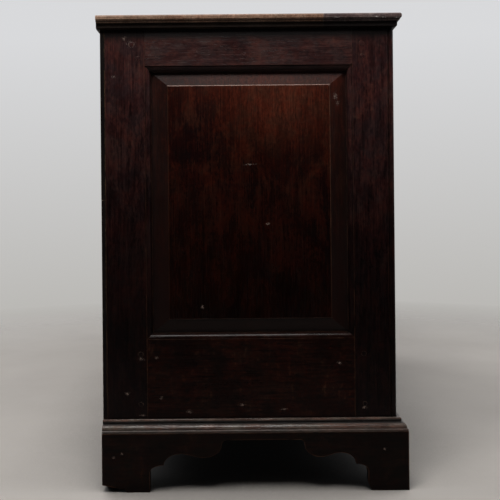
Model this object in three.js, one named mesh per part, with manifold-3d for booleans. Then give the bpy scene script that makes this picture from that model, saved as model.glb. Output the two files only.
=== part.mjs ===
// Panelled oak mule chest: a lift-lid well over two drawers, on a shaped bracket plinth.
// Millimetres, +Z up. X runs along the chest, the front faces -Y, and the floor is at z = 0.

import * as THREE from 'three';
import { mergeVertices } from 'three/addons/utils/BufferGeometryUtils.js';
import Module from 'manifold-3d';

const wasm = await Module();
wasm.setup();

// Carcase
const carcaseLength = 1380;
const carcaseDepth = 528;
const carcaseTop = 826;
const carcaseFoot = 96;
const frameThick = 27;

// Clearances
const seam = 0.2;
const runGap = 0.3;
const overrun = 5;

// Posts
const frontPostEndWidth = 74.5;
const backPostEndWidth = 72;
const postFaceWidth = 66;
const footStubWidth = 48;
const footStubClear = 16;

// Rails, measured as heights of their edges above the floor
const topRailHeight = 65.5;
const endBottomRailTop = 268.5;
const wellRailTop = 345;
const wellRailFoot = 298;
const drawerRailTop = 150;

// Tenons and the mortises that hold them
const tenonThick = 9;
const tenonLength = 34;
const tenonShoulder = 10;
const muntinTenonLength = 22;
const dividerTenonLength = 13;

// Moulding worked on the inner edges of the frames
const stickWidth = 11;
const stickQuirk = 1;
const stickDrop = 1.2;
const stickFillet = 1.5;
const stickDepth = 9.5;
const stickBite = 2;
const stickSteps = 6;
const grooveFront = 10.5;
const grooveWidth = 6;
const grooveDepth = 10;

// Fielded panels
const panelPlay = 1.2;
const fieldSideMargin = 29;
const fieldEndMargin = 24;
const fieldBelowFace = 3;
const fieldStep = 1.6;
const fieldStepInset = 0.6;

// Staff bead on the front corners
const beadRadius = 5.2;
const beadWidth = 12;
const beadSteps = 10;
const beadStartShare = 1.4;
const beadEndShare = 3.6;

// Front divisions
const muntinWidth = 66;
const frontPanelCount = 3;
const dividerWidth = 50;

// Back boards, nailed on behind the posts
const backBoardThick = 8;
const backBoardJoint = 520;

// Well floor
const wellFloorFoot = 306;
const wellFloorThick = 14;
const wellFloorHousing = 7;

// Base moulding
const baseMouldHeight = 22;
const baseFilletOut = 17.6;
const baseFilletHeight = 3.5;
const baseOvoloOut = 15.8;
const baseOvoloFoot = 4.5;
const baseOvoloHead = 13.5;
const baseLedgeOut = 9.4;
const baseTorusOut = 5.6;
const baseTorusFoot = 15;
const baseTorusBulge = 1.6;
const baseMouldSteps = 5;

// Plinth
const plinthHeight = 104;
const plinthProud = 18;
const archHeight = 91.5;
const rearFootWidth = 85;
const frontFootWidth = 72.5;
const rearBracketReach = 137;
const frontBracketReach = 121;
const rearBracketThick = 18;
const rearBracketLength = 150;
const rearBracketSlope = 62;
const wornBracketRun = 26;
const wornHeelRise = 13;
const wornHeelRun = 44;
const wornHeelStep = 5;
const wornHeelStepRun = 2;
const wornToeRise = 14;
const wornToeRun = 7.5;
const wornToeKneeRise = 4;
const wornToeKneeRun = 4;

// Lid
const lidThick = 24;
const lidOverhang = 13;
const lidRearOverhang = 6;
const lidFrontBoard = 140;
const lidFootInset = 12.5;
const lidListelInset = 7.2;
const lidListelFoot = 2;
const lidListelHead = 5;
const lidCoveHead = 12.5;
const lidFilletInset = 2.6;
const lidFilletHead = 14.2;
const lidNoseRound = 4.2;
const lidNoseChamfer = 1.1;
const lidNoseFoot = 2.1;
const lidSteps = 5;

// Lid hinges
const hingeInset = 210;
const hingeLength = 76;
const hingeLeafDepth = 32;
const hingeLeafThick = 2.2;
const hingeBarrelRadius = 4.5;
const hingePinRadius = 2.2;
const hingePinPlay = 0.08;
const hingeAxisBack = 1.2;
const hingeKnuckleShare = 0.36;
const hingeSides = 24;

// Lid lock and its staple plate
const lockLength = 84;
const lockHeight = 46;
const lockThick = 14;
const lockSlotLength = 16;
const lockSlotWidth = 7;
const lockSlotDepth = 18;
const stapleLength = 64;
const stapleWidth = 22;
const stapleThick = 2;
const stapleTongueLength = 12;
const stapleTongueWidth = 3.5;
const stapleTongueDrop = 14;

// Drawers
const drawerGap = 1;
const drawerFrontThick = 22;
const drawerSideThick = 11;
const drawerBackThick = 11;
const drawerRearRoom = 50;
const drawerSideDrop = 11;
const drawerBottomThick = 8;
const drawerBottomRise = 8;
const drawerGrooveDepth = 5;
const drawerGrooveMargin = 0.25;

// Dovetails
const tailCount = 3;
const tailLap = 6;
const tailRootShare = 0.56;
const tailEndShare = 0.76;

// Drawer runners
const runnerWidth = 34;
const runnerThick = 30;
const guideHeight = 20;
const runnerTenonLength = 6.5;
const runnerTenonShare = 0.5;
const runnerStopShare = 0.4;

// Drawer handles
const handleInset = 130;
const handleBore = 84;
const handlePlateThick = 1.8;
const handlePlateLength = 112;
const handlePlateHeight = 44;
const handlePostRadius = 4.6;
const handlePostReach = 12.5;
const handleEyeRadius = 5.4;
const handleEyeThick = 7;
const handlePinRadius = 2;
const handlePinPlay = 0.3;
const bailRadius = 2.9;
const bailDrop = 34;
const bailNeck = 9;
const bailShoulder = 1.6;
const bailSteps = 36;
const bailSides = 8;
const roundSides = 20;

// Places worked out from the sizes above
const endX = carcaseLength / 2;
const frontY = -carcaseDepth / 2;
const backY = carcaseDepth / 2;
const boardsY = backY - backBoardThick;
const topRailFoot = carcaseTop - topRailHeight;
const frontPostInnerY = frontY + frontPostEndWidth;
const backPostInnerY = boardsY - backPostEndWidth;
const postInnerX = endX - postFaceWidth;
const innerEndX = endX - frameThick;
const innerFrontY = frontY + frameThick;
const lidFoot = carcaseTop + runGap;
const lidJointY = frontY - lidOverhang + lidFrontBoard;
const hingeY = backY + hingeAxisBack;
const hingeZ = carcaseTop + runGap / 2;

// Finishes
const oak = finish(0x3d2015, 0.42);
const darkOak = finish(0x2a150d, 0.46);
const plinthOak = finish(0x1f110b, 0.5);
const dryOak = finish(0x6d4c33, 0.8);
const brass = finish(0x9a7a3c, 0.38, 1);
const iron = finish(0x33302d, 0.55, 1);

function finish(color, roughness, metalness = 0) {
  return new THREE.MeshStandardMaterial({ color, roughness, metalness });
}

// Turns a closed geometry, placed by a matrix, into a solid that can be cut and joined
function solidOf(geometry, matrix = new THREE.Matrix4()) {
  const bare = geometry.clone();
  bare.deleteAttribute('normal');
  bare.deleteAttribute('uv');
  const merged = mergeVertices(bare);
  merged.applyMatrix4(matrix);
  const triVerts = Uint32Array.from(merged.index.array);
  if (matrix.determinant() < 0) {
    triVerts.reverse();
  }
  const vertProperties = Float32Array.from(merged.attributes.position.array);
  return new wasm.Manifold(new wasm.Mesh({ numProp: 3, vertProperties, triVerts }));
}

// Gives a solid back as a geometry
function geometryOf(solid) {
  const { vertProperties, triVerts } = solid.getMesh();
  const geometry = new THREE.BufferGeometry();
  geometry.setAttribute('position', new THREE.BufferAttribute(vertProperties, 3));
  geometry.setIndex(new THREE.BufferAttribute(triVerts, 1));
  geometry.computeVertexNormals();
  return geometry;
}

function mirrorX(solid) {
  return solidOf(geometryOf(solid), new THREE.Matrix4().makeScale(-1, 1, 1));
}

function joined(solids) {
  return solids.reduce((whole, solid) => whole.add(solid));
}

function cutBy(solid, cutters) {
  return cutters.reduce((rest, cutter) => rest.subtract(cutter), solid);
}

// A rectangular block between two places along each axis, laid out by a matrix
function block([x0, x1], [y0, y1], [z0, z1], matrix) {
  const geometry = new THREE.BoxGeometry(x1 - x0, y1 - y0, z1 - z0);
  geometry.translate((x0 + x1) / 2, (y0 + y1) / 2, (z0 + z1) / 2);
  return solidOf(geometry, matrix);
}

// The same span, longer by an amount at both ends
function grown([low, high], amount) {
  return [low - amount, high + amount];
}

// A span of a size about its middle
function centred(middle, size) {
  return [middle - size / 2, middle + size / 2];
}

// A solid through a stack of rectangles, each { a, b, c }: spans on two axes and a height
function loft(levels, matrix) {
  const points = levels.flatMap(({ a, b, c }) => [
    [a[0], b[0], c],
    [a[1], b[0], c],
    [a[1], b[1], c],
    [a[0], b[1], c],
  ]);
  const index = [0, 2, 1, 0, 3, 2];
  for (let level = 0; level < levels.length - 1; level += 1) {
    for (let side = 0; side < 4; side += 1) {
      const here = level * 4 + side;
      const next = level * 4 + ((side + 1) % 4);
      index.push(here, next, next + 4, here, next + 4, here + 4);
    }
  }
  const top = (levels.length - 1) * 4;
  index.push(top, top + 1, top + 2, top, top + 2, top + 3);
  const geometry = new THREE.BufferGeometry();
  geometry.setAttribute('position', new THREE.Float32BufferAttribute(points.flat(), 3));
  geometry.setIndex(index);
  return solidOf(geometry, matrix);
}

// Points on part of an ellipse, angles in quarter turns
function arc(centreX, centreY, radiusX, radiusY, from, to, steps) {
  return Array.from({ length: steps + 1 }, (_, step) => {
    const angle = ((from + ((to - from) * step) / steps) * Math.PI) / 2;
    return [centreX + radiusX * Math.cos(angle), centreY + radiusY * Math.sin(angle)];
  });
}

function shapeOf(points) {
  return new THREE.Shape(points.map(([x, y]) => new THREE.Vector2(x, y)));
}

// A flat outline given a thickness, from one height to another
function slab(points, [low, high], matrix) {
  const settings = { depth: high - low, bevelEnabled: false };
  const geometry = new THREE.ExtrudeGeometry(shapeOf(points), settings);
  geometry.translate(0, 0, low);
  return solidOf(geometry, matrix);
}

// A moulding strip whose section is drawn as [outward, across]. Its ends run from start to end,
// square with mitre 0, cut back inside a corner with mitre 1, or run on round one with mitre -1.
function strip(section, [start, end], [startMitre, endMitre], matrix) {
  const geometry = new THREE.ExtrudeGeometry(shapeOf(section), { depth: 1, bevelEnabled: false });
  const position = geometry.attributes.position;
  for (let vertex = 0; vertex < position.count; vertex += 1) {
    const out = Math.max(position.getX(vertex), 0);
    const atEnd = position.getZ(vertex) > 0;
    const place = atEnd ? end - seam - endMitre * out : start + seam + startMitre * out;
    position.setZ(vertex, place);
  }
  return solidOf(geometry, matrix);
}

// Axis names for laying out a piece: where its own x, y and z point, and where its origin is
const right = new THREE.Vector3(1, 0, 0);
const left = new THREE.Vector3(-1, 0, 0);
const rear = new THREE.Vector3(0, 1, 0);
const front = new THREE.Vector3(0, -1, 0);
const up = new THREE.Vector3(0, 0, 1);

function layout(xAxis, yAxis, zAxis, x, y, z) {
  return new THREE.Matrix4().makeBasis(xAxis, yAxis, zAxis).setPosition(x, y, z);
}

// A round bar along X, centred on an axis
function barX(radius, [x0, x1], y, z, sides = roundSides) {
  const geometry = new THREE.CylinderGeometry(radius, radius, x1 - x0, sides);
  return solidOf(geometry, layout(up, right, rear, (x0 + x1) / 2, y, z));
}

// Faces of the carcase: x along the face, y up, z into the wood
const endFace = layout(rear, up, right, -endX, 0, 0);
const frontFace = layout(right, up, rear, 0, frontY, 0);
const backFace = layout(right, up, front, 0, boardsY - seam, 0);
const tenonDepth = [grooveFront, grooveFront + tenonThick];

// Openings that hold the panels: spans along the face and up it
const endOpening = { a: [frontPostInnerY, backPostInnerY], b: [endBottomRailTop, topRailFoot] };
const frontOpeningWidth = (2 * postInnerX - (frontPanelCount - 1) * muntinWidth) / frontPanelCount;
const frontOpenings = Array.from({ length: frontPanelCount }, (_, bay) => {
  const start = -postInnerX + bay * (frontOpeningWidth + muntinWidth);
  return { a: [start, start + frontOpeningWidth], b: [wellRailTop, topRailFoot] };
});

// Section of the moulding worked on a frame member, with the panel groove in its edge
const stickSection = [
  [-stickBite, 0],
  [0, 0],
  [0, stickDrop],
  ...arc(
    stickQuirk,
    stickDepth,
    stickWidth - stickFillet - stickQuirk,
    stickDepth - stickDrop,
    3,
    4,
    stickSteps,
  ),
  [stickWidth, stickDepth],
  [stickWidth, grooveFront],
  [stickWidth - grooveDepth, grooveFront],
  [stickWidth - grooveDepth, grooveFront + grooveWidth],
  [stickWidth, grooveFront + grooveWidth],
  [stickWidth, frameThick],
  [-stickBite, frameThick],
];

// The four mitred mouldings round an opening, each to be joined to the member that carries it
function edgeMouldings(face, { a, b }) {
  const along = new THREE.Matrix4();
  const mitred = (run, axes) => strip(stickSection, run, [1, 1], along.multiplyMatrices(face, axes));
  return {
    low: mitred(b, layout(right, up, rear, a[0], 0, 0)),
    high: mitred(b, layout(left, up, rear, a[1], 0, 0)),
    foot: mitred(a, layout(rear, up, right, 0, b[0], 0)),
    head: mitred(a, layout(front, up, right, 0, b[1], 0)),
  };
}

const endMouldings = edgeMouldings(endFace, endOpening);
const frontMouldings = frontOpenings.map((opening) => edgeMouldings(frontFace, opening));

// A tenon at each end of a rail, or the mortises for them when grown
function railTenons(face, run, height, grow = 0) {
  const length = grown(run, tenonLength + grow);
  const width = grown(height, grow - tenonShoulder);
  return block(length, width, grown(tenonDepth, grow), face);
}

function rail(face, run, height) {
  return block(grown(run, -seam), height, [0, frameThick], face).add(railTenons(face, run, height));
}

// The same for an upright between two rails
function uprightTenons(face, width, run, length, grow = 0) {
  const height = grown(run, length + grow);
  return block(grown(width, grow - tenonShoulder), height, grown(tenonDepth, grow), face);
}

function upright(face, width, run, length) {
  const bar = block(width, grown(run, -seam), [0, frameThick], face);
  return bar.add(uprightTenons(face, width, run, length));
}

// Runs and heights of the rails
const endRun = endOpening.a;
const longRun = [-postInnerX, postInnerX];
const topRail = [topRailFoot, carcaseTop];
const endBottomRail = [carcaseFoot, endBottomRailTop];
const wellRail = [wellRailFoot, wellRailTop];
const drawerRail = [carcaseFoot, drawerRailTop];
const muntinWidths = frontOpenings.slice(1).map(({ a }) => [a[0] - muntinWidth, a[0]]);
const dividerSpan = [-dividerWidth / 2, dividerWidth / 2];
const muntinRun = [wellRailTop, topRailFoot];
const dividerRun = [drawerRailTop, wellRailFoot];

// Well floor, housed in the posts and the well rail
function wellFloor(grow = 0) {
  const thickness = grown([wellFloorFoot, wellFloorFoot + wellFloorThick], grow);
  const cornerX = [postInnerX + wellFloorHousing - seam + grow, endX];
  const frontCorner = [frontY, frontPostInnerY - wellFloorHousing + seam - grow];
  const rearCorner = [backPostInnerY + wellFloorHousing - seam + grow, backY];
  const cornerHeight = grown(thickness, overrun);
  const corners = [frontCorner, rearCorner].map((span) => block(cornerX, span, cornerHeight));
  const depth = [innerFrontY - wellFloorHousing + seam - grow, boardsY - seam];
  const board = block(grown([-innerEndX, innerEndX], grow - seam), depth, thickness);
  return cutBy(board, [...corners, ...corners.map(mirrorX)]);
}

// A raised and fielded panel, its tongue lying in the grooves round an opening
function fieldedPanel(face, { a, b }) {
  const sight = { a: grown(a, -stickWidth), b: grown(b, -stickWidth) };
  const tongueReach = grooveDepth - panelPlay;
  const tongue = { a: grown(sight.a, tongueReach), b: grown(sight.b, tongueReach) };
  const field = { a: grown(sight.a, -fieldSideMargin), b: grown(sight.b, -fieldEndMargin) };
  const fieldTop = { a: grown(field.a, -fieldStepInset), b: grown(field.b, -fieldStepInset) };
  const levels = [
    { ...fieldTop, c: fieldBelowFace },
    { ...field, c: fieldBelowFace + fieldStep },
    { ...sight, c: grooveFront + runGap },
    { ...tongue, c: grooveFront + runGap },
    { ...tongue, c: grooveFront + grooveWidth - runGap },
  ];
  return loft(levels, face);
}

// Front post: a staff bead runs down its outer corner
function frontPost() {
  const outline = [
    [beadWidth, 0],
    [postFaceWidth, 0],
    [postFaceWidth, frontPostEndWidth],
    [0, frontPostEndWidth],
    [0, beadWidth],
    ...arc(beadRadius, beadRadius, beadRadius, beadRadius, beadStartShare, beadEndShare, beadSteps),
  ].map(([x, y]) => [x - endX, y + frontY]);
  const stub = block(
    [-endX, -endX + footStubWidth],
    [frontY, frontY + footStubWidth],
    [footStubClear, carcaseFoot + overrun],
  );
  return cutBy(
    joined([slab(outline, [carcaseFoot, carcaseTop]), stub, endMouldings.low, frontMouldings[0].low]),
    [
      railTenons(endFace, endRun, topRail, seam),
      railTenons(endFace, endRun, endBottomRail, seam),
      railTenons(frontFace, longRun, topRail, seam),
      railTenons(frontFace, longRun, wellRail, seam),
      railTenons(frontFace, longRun, drawerRail, seam),
      wellFloor(seam),
    ],
  );
}

// Back post: its foot is cut away for the bracket behind the plinth
function backPost() {
  const post = block(
    [-endX, -postInnerX],
    [backPostInnerY, boardsY - seam],
    [carcaseFoot, carcaseTop],
  );
  const stubBack = backY - rearBracketThick - seam;
  const stub = block(
    [-endX, -endX + footStubWidth],
    [stubBack - footStubWidth, stubBack],
    [footStubClear, carcaseFoot + overrun],
  );
  return cutBy(joined([post, stub, endMouldings.high]), [
    railTenons(endFace, endRun, topRail, seam),
    railTenons(endFace, endRun, endBottomRail, seam),
    railTenons(backFace, longRun, topRail, seam),
    wellFloor(seam),
  ]);
}

// Front rails, muntins and drawer divider
function frontTopRail() {
  const bar = joined([rail(frontFace, longRun, topRail), ...frontMouldings.map(({ head }) => head)]);
  return cutBy(
    bar,
    muntinWidths.map((width) => uprightTenons(frontFace, width, muntinRun, muntinTenonLength, seam)),
  );
}

function frontWellRail() {
  const bar = joined([rail(frontFace, longRun, wellRail), ...frontMouldings.map(({ foot }) => foot)]);
  return cutBy(bar, [
    ...muntinWidths.map((width) => uprightTenons(frontFace, width, muntinRun, muntinTenonLength, seam)),
    uprightTenons(frontFace, dividerSpan, dividerRun, dividerTenonLength, seam),
    wellFloor(seam),
  ]);
}

function frontDrawerRail() {
  const bar = rail(frontFace, longRun, drawerRail);
  const mortise = uprightTenons(frontFace, dividerSpan, dividerRun, dividerTenonLength, seam);
  return cutBy(bar, [mortise, ...drawerRunnerTenons(seam)]);
}

function muntin(index) {
  const bar = upright(frontFace, muntinWidths[index], muntinRun, muntinTenonLength);
  return joined([bar, frontMouldings[index].high, frontMouldings[index + 1].low]);
}

// Drawer runners: a shelf under each drawer side, with a guide beside it
const runnerTop = drawerRailTop;
const runnerInner = postInnerX - drawerSideThick - runnerWidth / 2;
const runnerSpan = [runnerInner, postInnerX];
const centreRunnerSpan = grown(dividerSpan, drawerSideThick + runnerWidth / 2);
const runnerFoot = runnerTop - runnerThick;
const drawerRearY = boardsY - drawerRearRoom;
const stopStart = drawerRearY + runGap;
const stopDepth = [stopStart, stopStart + runnerStopShare * drawerRearRoom];

function runnerTenon([x0, x1], grow) {
  const width = centred((x0 + x1) / 2, runnerTenonShare * runnerWidth);
  const height = centred((runnerFoot + runnerTop) / 2, runnerTenonShare * runnerThick);
  const length = [innerFrontY - runnerTenonLength, innerFrontY + overrun];
  return block(grown(width, grow), grown(length, grow), grown(height, grow));
}

function drawerRunnerTenons(grow = 0) {
  const side = runnerTenon(runnerSpan, grow);
  return [side, runnerTenon(centreRunnerSpan, grow), mirrorX(side)];
}

// The right-hand runner fills the space from the end frame to the drawer, round the posts
function sideRunner() {
  const depth = [innerFrontY + seam, boardsY - seam];
  const shelf = block([runnerInner, innerEndX - seam], depth, [runnerFoot, runnerTop]);
  const guide = block(
    [postInnerX + runGap, innerEndX - seam],
    depth,
    [runnerTop - overrun, runnerTop + guideHeight],
  );
  const stop = block(
    [runnerInner, postInnerX + overrun],
    stopDepth,
    [runnerTop - overrun, runnerTop + guideHeight],
  );
  const frontPostSpace = [frontY, frontPostInnerY + seam];
  const backPostSpace = [backPostInnerY - seam, backY];
  const posts = [frontPostSpace, backPostSpace].map((span) =>
    block([postInnerX - seam, endX], span, grown([runnerFoot, runnerTop + guideHeight], overrun)),
  );
  return cutBy(joined([shelf, guide, stop, runnerTenon(runnerSpan, 0)]), posts);
}

function centreRunner() {
  const depth = [innerFrontY + seam, boardsY - seam];
  const shelf = block(centreRunnerSpan, depth, [runnerFoot, runnerTop]);
  const guideTop = [runnerTop - overrun, runnerTop + guideHeight];
  const guide = block(grown(dividerSpan, -runGap), depth, guideTop);
  const stop = block(centreRunnerSpan, stopDepth, guideTop);
  return joined([shelf, guide, stop, runnerTenon(centreRunnerSpan, 0)]);
}

// Back boards, with housings for the lid hinges in the upper one
function backBoard(height) {
  return block([-endX, endX], [boardsY, backY], height);
}

function backTopRail() {
  return cutBy(rail(backFace, longRun, topRail), backHingeHousings);
}

// Base moulding, mitred round the front corners
const baseSection = [
  [seam, 0],
  [baseFilletOut, 0],
  [baseFilletOut, baseFilletHeight],
  [baseOvoloOut, baseOvoloFoot],
  ...arc(
    baseLedgeOut,
    baseOvoloFoot,
    baseOvoloOut - baseLedgeOut,
    baseOvoloHead - baseOvoloFoot,
    0,
    1,
    baseMouldSteps,
  ).slice(1),
  [baseTorusOut, baseTorusFoot],
  ...arc(
    baseTorusOut,
    (baseTorusFoot + baseMouldHeight) / 2,
    baseTorusBulge,
    (baseMouldHeight - baseTorusFoot) / 2,
    -1,
    1,
    baseMouldSteps,
  ).slice(1),
  [seam, baseMouldHeight],
];
const mouldFoot = plinthHeight + seam;

function endBaseMoulding() {
  return strip(baseSection, [frontY, backY], [-1, 0], layout(left, up, rear, -endX, 0, mouldFoot));
}

function frontBaseMoulding() {
  return strip(baseSection, [-endX, endX], [-1, -1], layout(front, up, right, 0, frontY, mouldFoot));
}

// Shares of a bracket's reach and of the arch height, from the foot to the flat of the arch
const scallopFootShare = 0.39;
const scallopReachShare = 0.18;
const scallopHeadShare = 0.52;
const hoodReachShare = 0.4;
const hoodHeadShare = 0.74;
const lobeReachShare = 0.7;
const lobeFootShare = 0.66;
const lobeTopShare = 0.9;
const lobeEndShare = 0.935;
const bracketSteps = 5;

// The lower edge of a bracket: small scallop, cusp, hood, ogee down to a lobe, then up to the arch
function bracketCurve(start, reach) {
  const x = (share) => start + share * reach;
  const z = (share) => share * archHeight;
  const width = (from, to) => x(to) - x(from);
  const height = (from, to) => z(to) - z(from);
  const ogee = Array.from({ length: bracketSteps - 1 }, (_, step) => {
    const share = (step + 1) / bracketSteps;
    const drop = (1 - Math.cos(share * Math.PI)) / 2;
    return [
      x(hoodReachShare + share * (lobeReachShare - hoodReachShare)),
      z(hoodHeadShare + drop * (lobeFootShare - hoodHeadShare)),
    ];
  });
  const scallop = arc(
    x(scallopReachShare),
    z(scallopFootShare),
    -width(0, scallopReachShare),
    height(scallopFootShare, scallopHeadShare),
    0,
    1,
    bracketSteps,
  );
  const hood = arc(
    x(hoodReachShare),
    z(scallopHeadShare),
    -width(scallopReachShare, hoodReachShare),
    height(scallopHeadShare, hoodHeadShare),
    0,
    1,
    bracketSteps,
  );
  const lobe = arc(
    x(lobeReachShare),
    z(lobeTopShare),
    width(lobeReachShare, lobeEndShare),
    height(lobeFootShare, lobeTopShare),
    -1,
    0,
    bracketSteps,
  );
  const head = arc(
    x(1),
    z(lobeTopShare),
    -width(lobeEndShare, 1),
    height(lobeTopShare, 1),
    0,
    1,
    bracketSteps,
  );
  return [...scallop, ...hood.slice(1), ...ogee, ...lobe, ...head.slice(1)];
}

// Outline of a plinth board from one end to the other, each end { at, foot, reach, worn }
function plinthOutline(low, high) {
  const rise = bracketCurve(low.at + low.foot, low.reach);
  const fall = bracketCurve(-(high.at - high.foot), high.reach).map(([x, z]) => [-x, z]).reverse();
  return [
    ...(low.corner ?? [[low.at, 0]]),
    ...(low.toe ?? [[low.at + low.foot, 0]]),
    ...rise,
    ...fall,
    ...(high.toe ?? [[high.at - high.foot, 0]]),
    ...(high.corner ?? [[high.at, 0]]),
    [high.at, plinthHeight],
    [low.at, plinthHeight],
  ];
}

// A plinth board standing out from a face, its corner ends mitred where they pass the carcase
function plinthBoard(outline, [low, high], matrix) {
  const shape = shapeOf(outline);
  const geometry = new THREE.ExtrudeGeometry(shape, { depth: plinthProud, bevelEnabled: false });
  const position = geometry.attributes.position;
  for (let vertex = 0; vertex < position.count; vertex += 1) {
    const out = position.getZ(vertex);
    const place = Math.min(Math.max(position.getX(vertex), low - out + seam), high + out - seam);
    position.setX(vertex, place);
    position.setZ(vertex, Math.max(out, seam));
  }
  return solidOf(geometry, matrix);
}

const frontFoot = { foot: frontFootWidth, reach: frontBracketReach };
const plinthReachX = endX + plinthProud;
const plinthFrontY = frontY - plinthProud;

function frontPlinth() {
  const outline = plinthOutline({ ...frontFoot, at: -plinthReachX }, { ...frontFoot, at: plinthReachX });
  return plinthBoard(outline, [-endX, endX], layout(right, up, front, 0, frontY, 0));
}

// End plinth, drawn along Y; the left one is worn at its rear heel and front toe
function endPlinth(worn) {
  const toe = plinthFrontY + frontFootWidth;
  const frontEnd = { ...frontFoot, at: plinthFrontY };
  const rearEnd = { foot: rearFootWidth, reach: rearBracketReach, at: backY };
  if (worn) {
    frontEnd.toe = [
      [toe - wornToeRun, 0],
      [toe - wornToeKneeRun, wornToeKneeRise],
      [toe, wornToeRise],
    ];
    rearEnd.corner = [
      [backY - wornHeelRun, 0],
      [backY - wornHeelRun + wornHeelStepRun, wornHeelStep],
      [backY, wornHeelRise],
    ];
  }
  const outline = plinthOutline(frontEnd, rearEnd);
  return plinthBoard(outline, [frontY, backY + plinthProud], layout(rear, up, left, -endX, 0, 0));
}

// Bracket behind each back foot, sloped off under the chest; the left one is worn with its foot
function rearBracket(worn) {
  const corner = worn ? [[-endX, wornHeelRise], [-endX + wornBracketRun, 0]] : [[-endX, 0]];
  const outline = [
    ...corner,
    [-endX + footStubWidth, 0],
    [-endX + rearBracketLength, rearBracketSlope],
    [-endX + rearBracketLength, carcaseFoot - seam],
    [-endX, carcaseFoot - seam],
  ];
  return slab(outline, [-backY, -backY + rearBracketThick], layout(right, up, front, 0, 0, 0));
}

// Lid: two boards, moulded on the front and both ends
const lidEdge = [
  [lidFootInset, 0],
  [lidListelInset, lidListelFoot],
  ...arc(
    lidFilletInset,
    lidListelHead,
    lidListelInset - lidFilletInset,
    lidCoveHead - lidListelHead,
    0,
    1,
    lidSteps,
  ),
  [lidFilletInset, lidFilletHead],
  [lidNoseChamfer, lidFilletHead + lidNoseChamfer],
  [0, lidFilletHead + lidNoseFoot],
  ...arc(lidNoseRound, lidThick - lidNoseRound, -lidNoseRound, lidNoseRound, 0, 1, lidSteps),
];

function lidBoard(spanAt) {
  const levels = lidEdge.map(([inset, height]) => ({
    a: grown([-endX, endX], lidOverhang - inset),
    b: spanAt(inset),
    c: lidFoot + height,
  }));
  return loft(levels);
}

// Lid hinges: a leaf let into the lid, a leaf let into the top of the back, and a pin
const hingeSpan = [endX - hingeInset - hingeLength, endX - hingeInset];
const lidKnuckle = grown(hingeSpan, -hingeKnuckleShare * hingeLength);
const leafDepth = [hingeY - hingeLeafDepth, hingeY];

function hingeBarrel(span, grow = 0) {
  return barX(hingeBarrelRadius + grow, grown(span, grow), hingeY, hingeZ, hingeSides);
}

function lidLeaf(grow = 0) {
  const height = [lidFoot, lidFoot + hingeLeafThick];
  return block(grown(hingeSpan, grow), grown(leafDepth, grow), grown(height, grow));
}

function backLeaf(grow = 0) {
  const height = [carcaseTop - hingeLeafThick, carcaseTop];
  return block(grown(hingeSpan, grow), grown(leafDepth, grow), grown(height, grow));
}

function hingeLidLeaf() {
  const outer = [
    [hingeSpan[0] - overrun, lidKnuckle[0]],
    [lidKnuckle[1], hingeSpan[1] + overrun],
  ];
  const boreSpan = grown(hingeSpan, overrun);
  const bore = barX(hingePinRadius + hingePinPlay, boreSpan, hingeY, hingeZ, hingeSides);
  const plate = cutBy(lidLeaf(), outer.map((span) => hingeBarrel(span, runGap)));
  return cutBy(plate.add(hingeBarrel(grown(lidKnuckle, -runGap))), [bore]);
}

function hingeBackLeaf() {
  const plate = cutBy(backLeaf(), [hingeBarrel(lidKnuckle, runGap)]);
  const knuckles = [
    [hingeSpan[0], lidKnuckle[0]],
    [lidKnuckle[1], hingeSpan[1]],
  ].map((span) => hingeBarrel(span));
  const pin = barX(hingePinRadius, hingeSpan, hingeY, hingeZ, hingeSides);
  return joined([plate, ...knuckles, pin]);
}

function bothEnds(solid) {
  return [solid, mirrorX(solid)];
}

const barrelSpace = hingeBarrel(hingeSpan, runGap);
const backHingeHousings = [...bothEnds(backLeaf(seam)), ...bothEnds(barrelSpace)];
const lidHingeHousings = [...bothEnds(lidLeaf(seam)), ...bothEnds(barrelSpace)];

// Lid lock behind the front top rail, and the staple plate let into the lid above it
const lockCentreY = innerFrontY + seam + lockThick / 2;

function lidLock() {
  const head = carcaseTop - seam;
  const box = block(centred(0, lockLength), centred(lockCentreY, lockThick), [head - lockHeight, head]);
  const slotDepth = [head - lockSlotDepth, head + overrun];
  return box.subtract(block(centred(0, lockSlotLength), centred(lockCentreY, lockSlotWidth), slotDepth));
}

function staplePlate(grow = 0) {
  return block(
    grown(centred(0, stapleLength), grow),
    grown(centred(lockCentreY, stapleWidth), grow),
    [lidFoot - grow, lidFoot + stapleThick + grow],
  );
}

function lidStaple() {
  const drop = [lidFoot - stapleTongueDrop, lidFoot + stapleThick];
  const tongue = block(centred(0, stapleTongueLength), centred(lockCentreY, stapleTongueWidth), drop);
  return staplePlate().add(tongue);
}

function lidFrontBoardSolid() {
  const span = (inset) => [frontY - lidOverhang + inset, lidJointY - seam];
  return cutBy(lidBoard(span), [staplePlate(seam)]);
}

function lidRearBoardSolid() {
  return cutBy(lidBoard(() => [lidJointY, backY + lidRearOverhang]), lidHingeHousings);
}

// The right-hand drawer; the left-hand one is its mirror image
const drawerSpan = [dividerWidth / 2 + drawerGap, postInnerX - drawerGap];
const drawerFaceRear = frontY + drawerFrontThick;
const drawerBackFace = drawerRearY - drawerBackThick;
const sideHeight = [drawerRailTop + runGap, wellRailFoot - drawerGap - drawerSideDrop];
const bottomFoot = sideHeight[0] + drawerBottomRise;
const bottomHeight = [bottomFoot, bottomFoot + drawerBottomThick];
const bottomSpan = grown(drawerSpan, drawerGrooveDepth - drawerSideThick);
const sidewall = layout(rear, up, right, 0, 0, 0);

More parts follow.
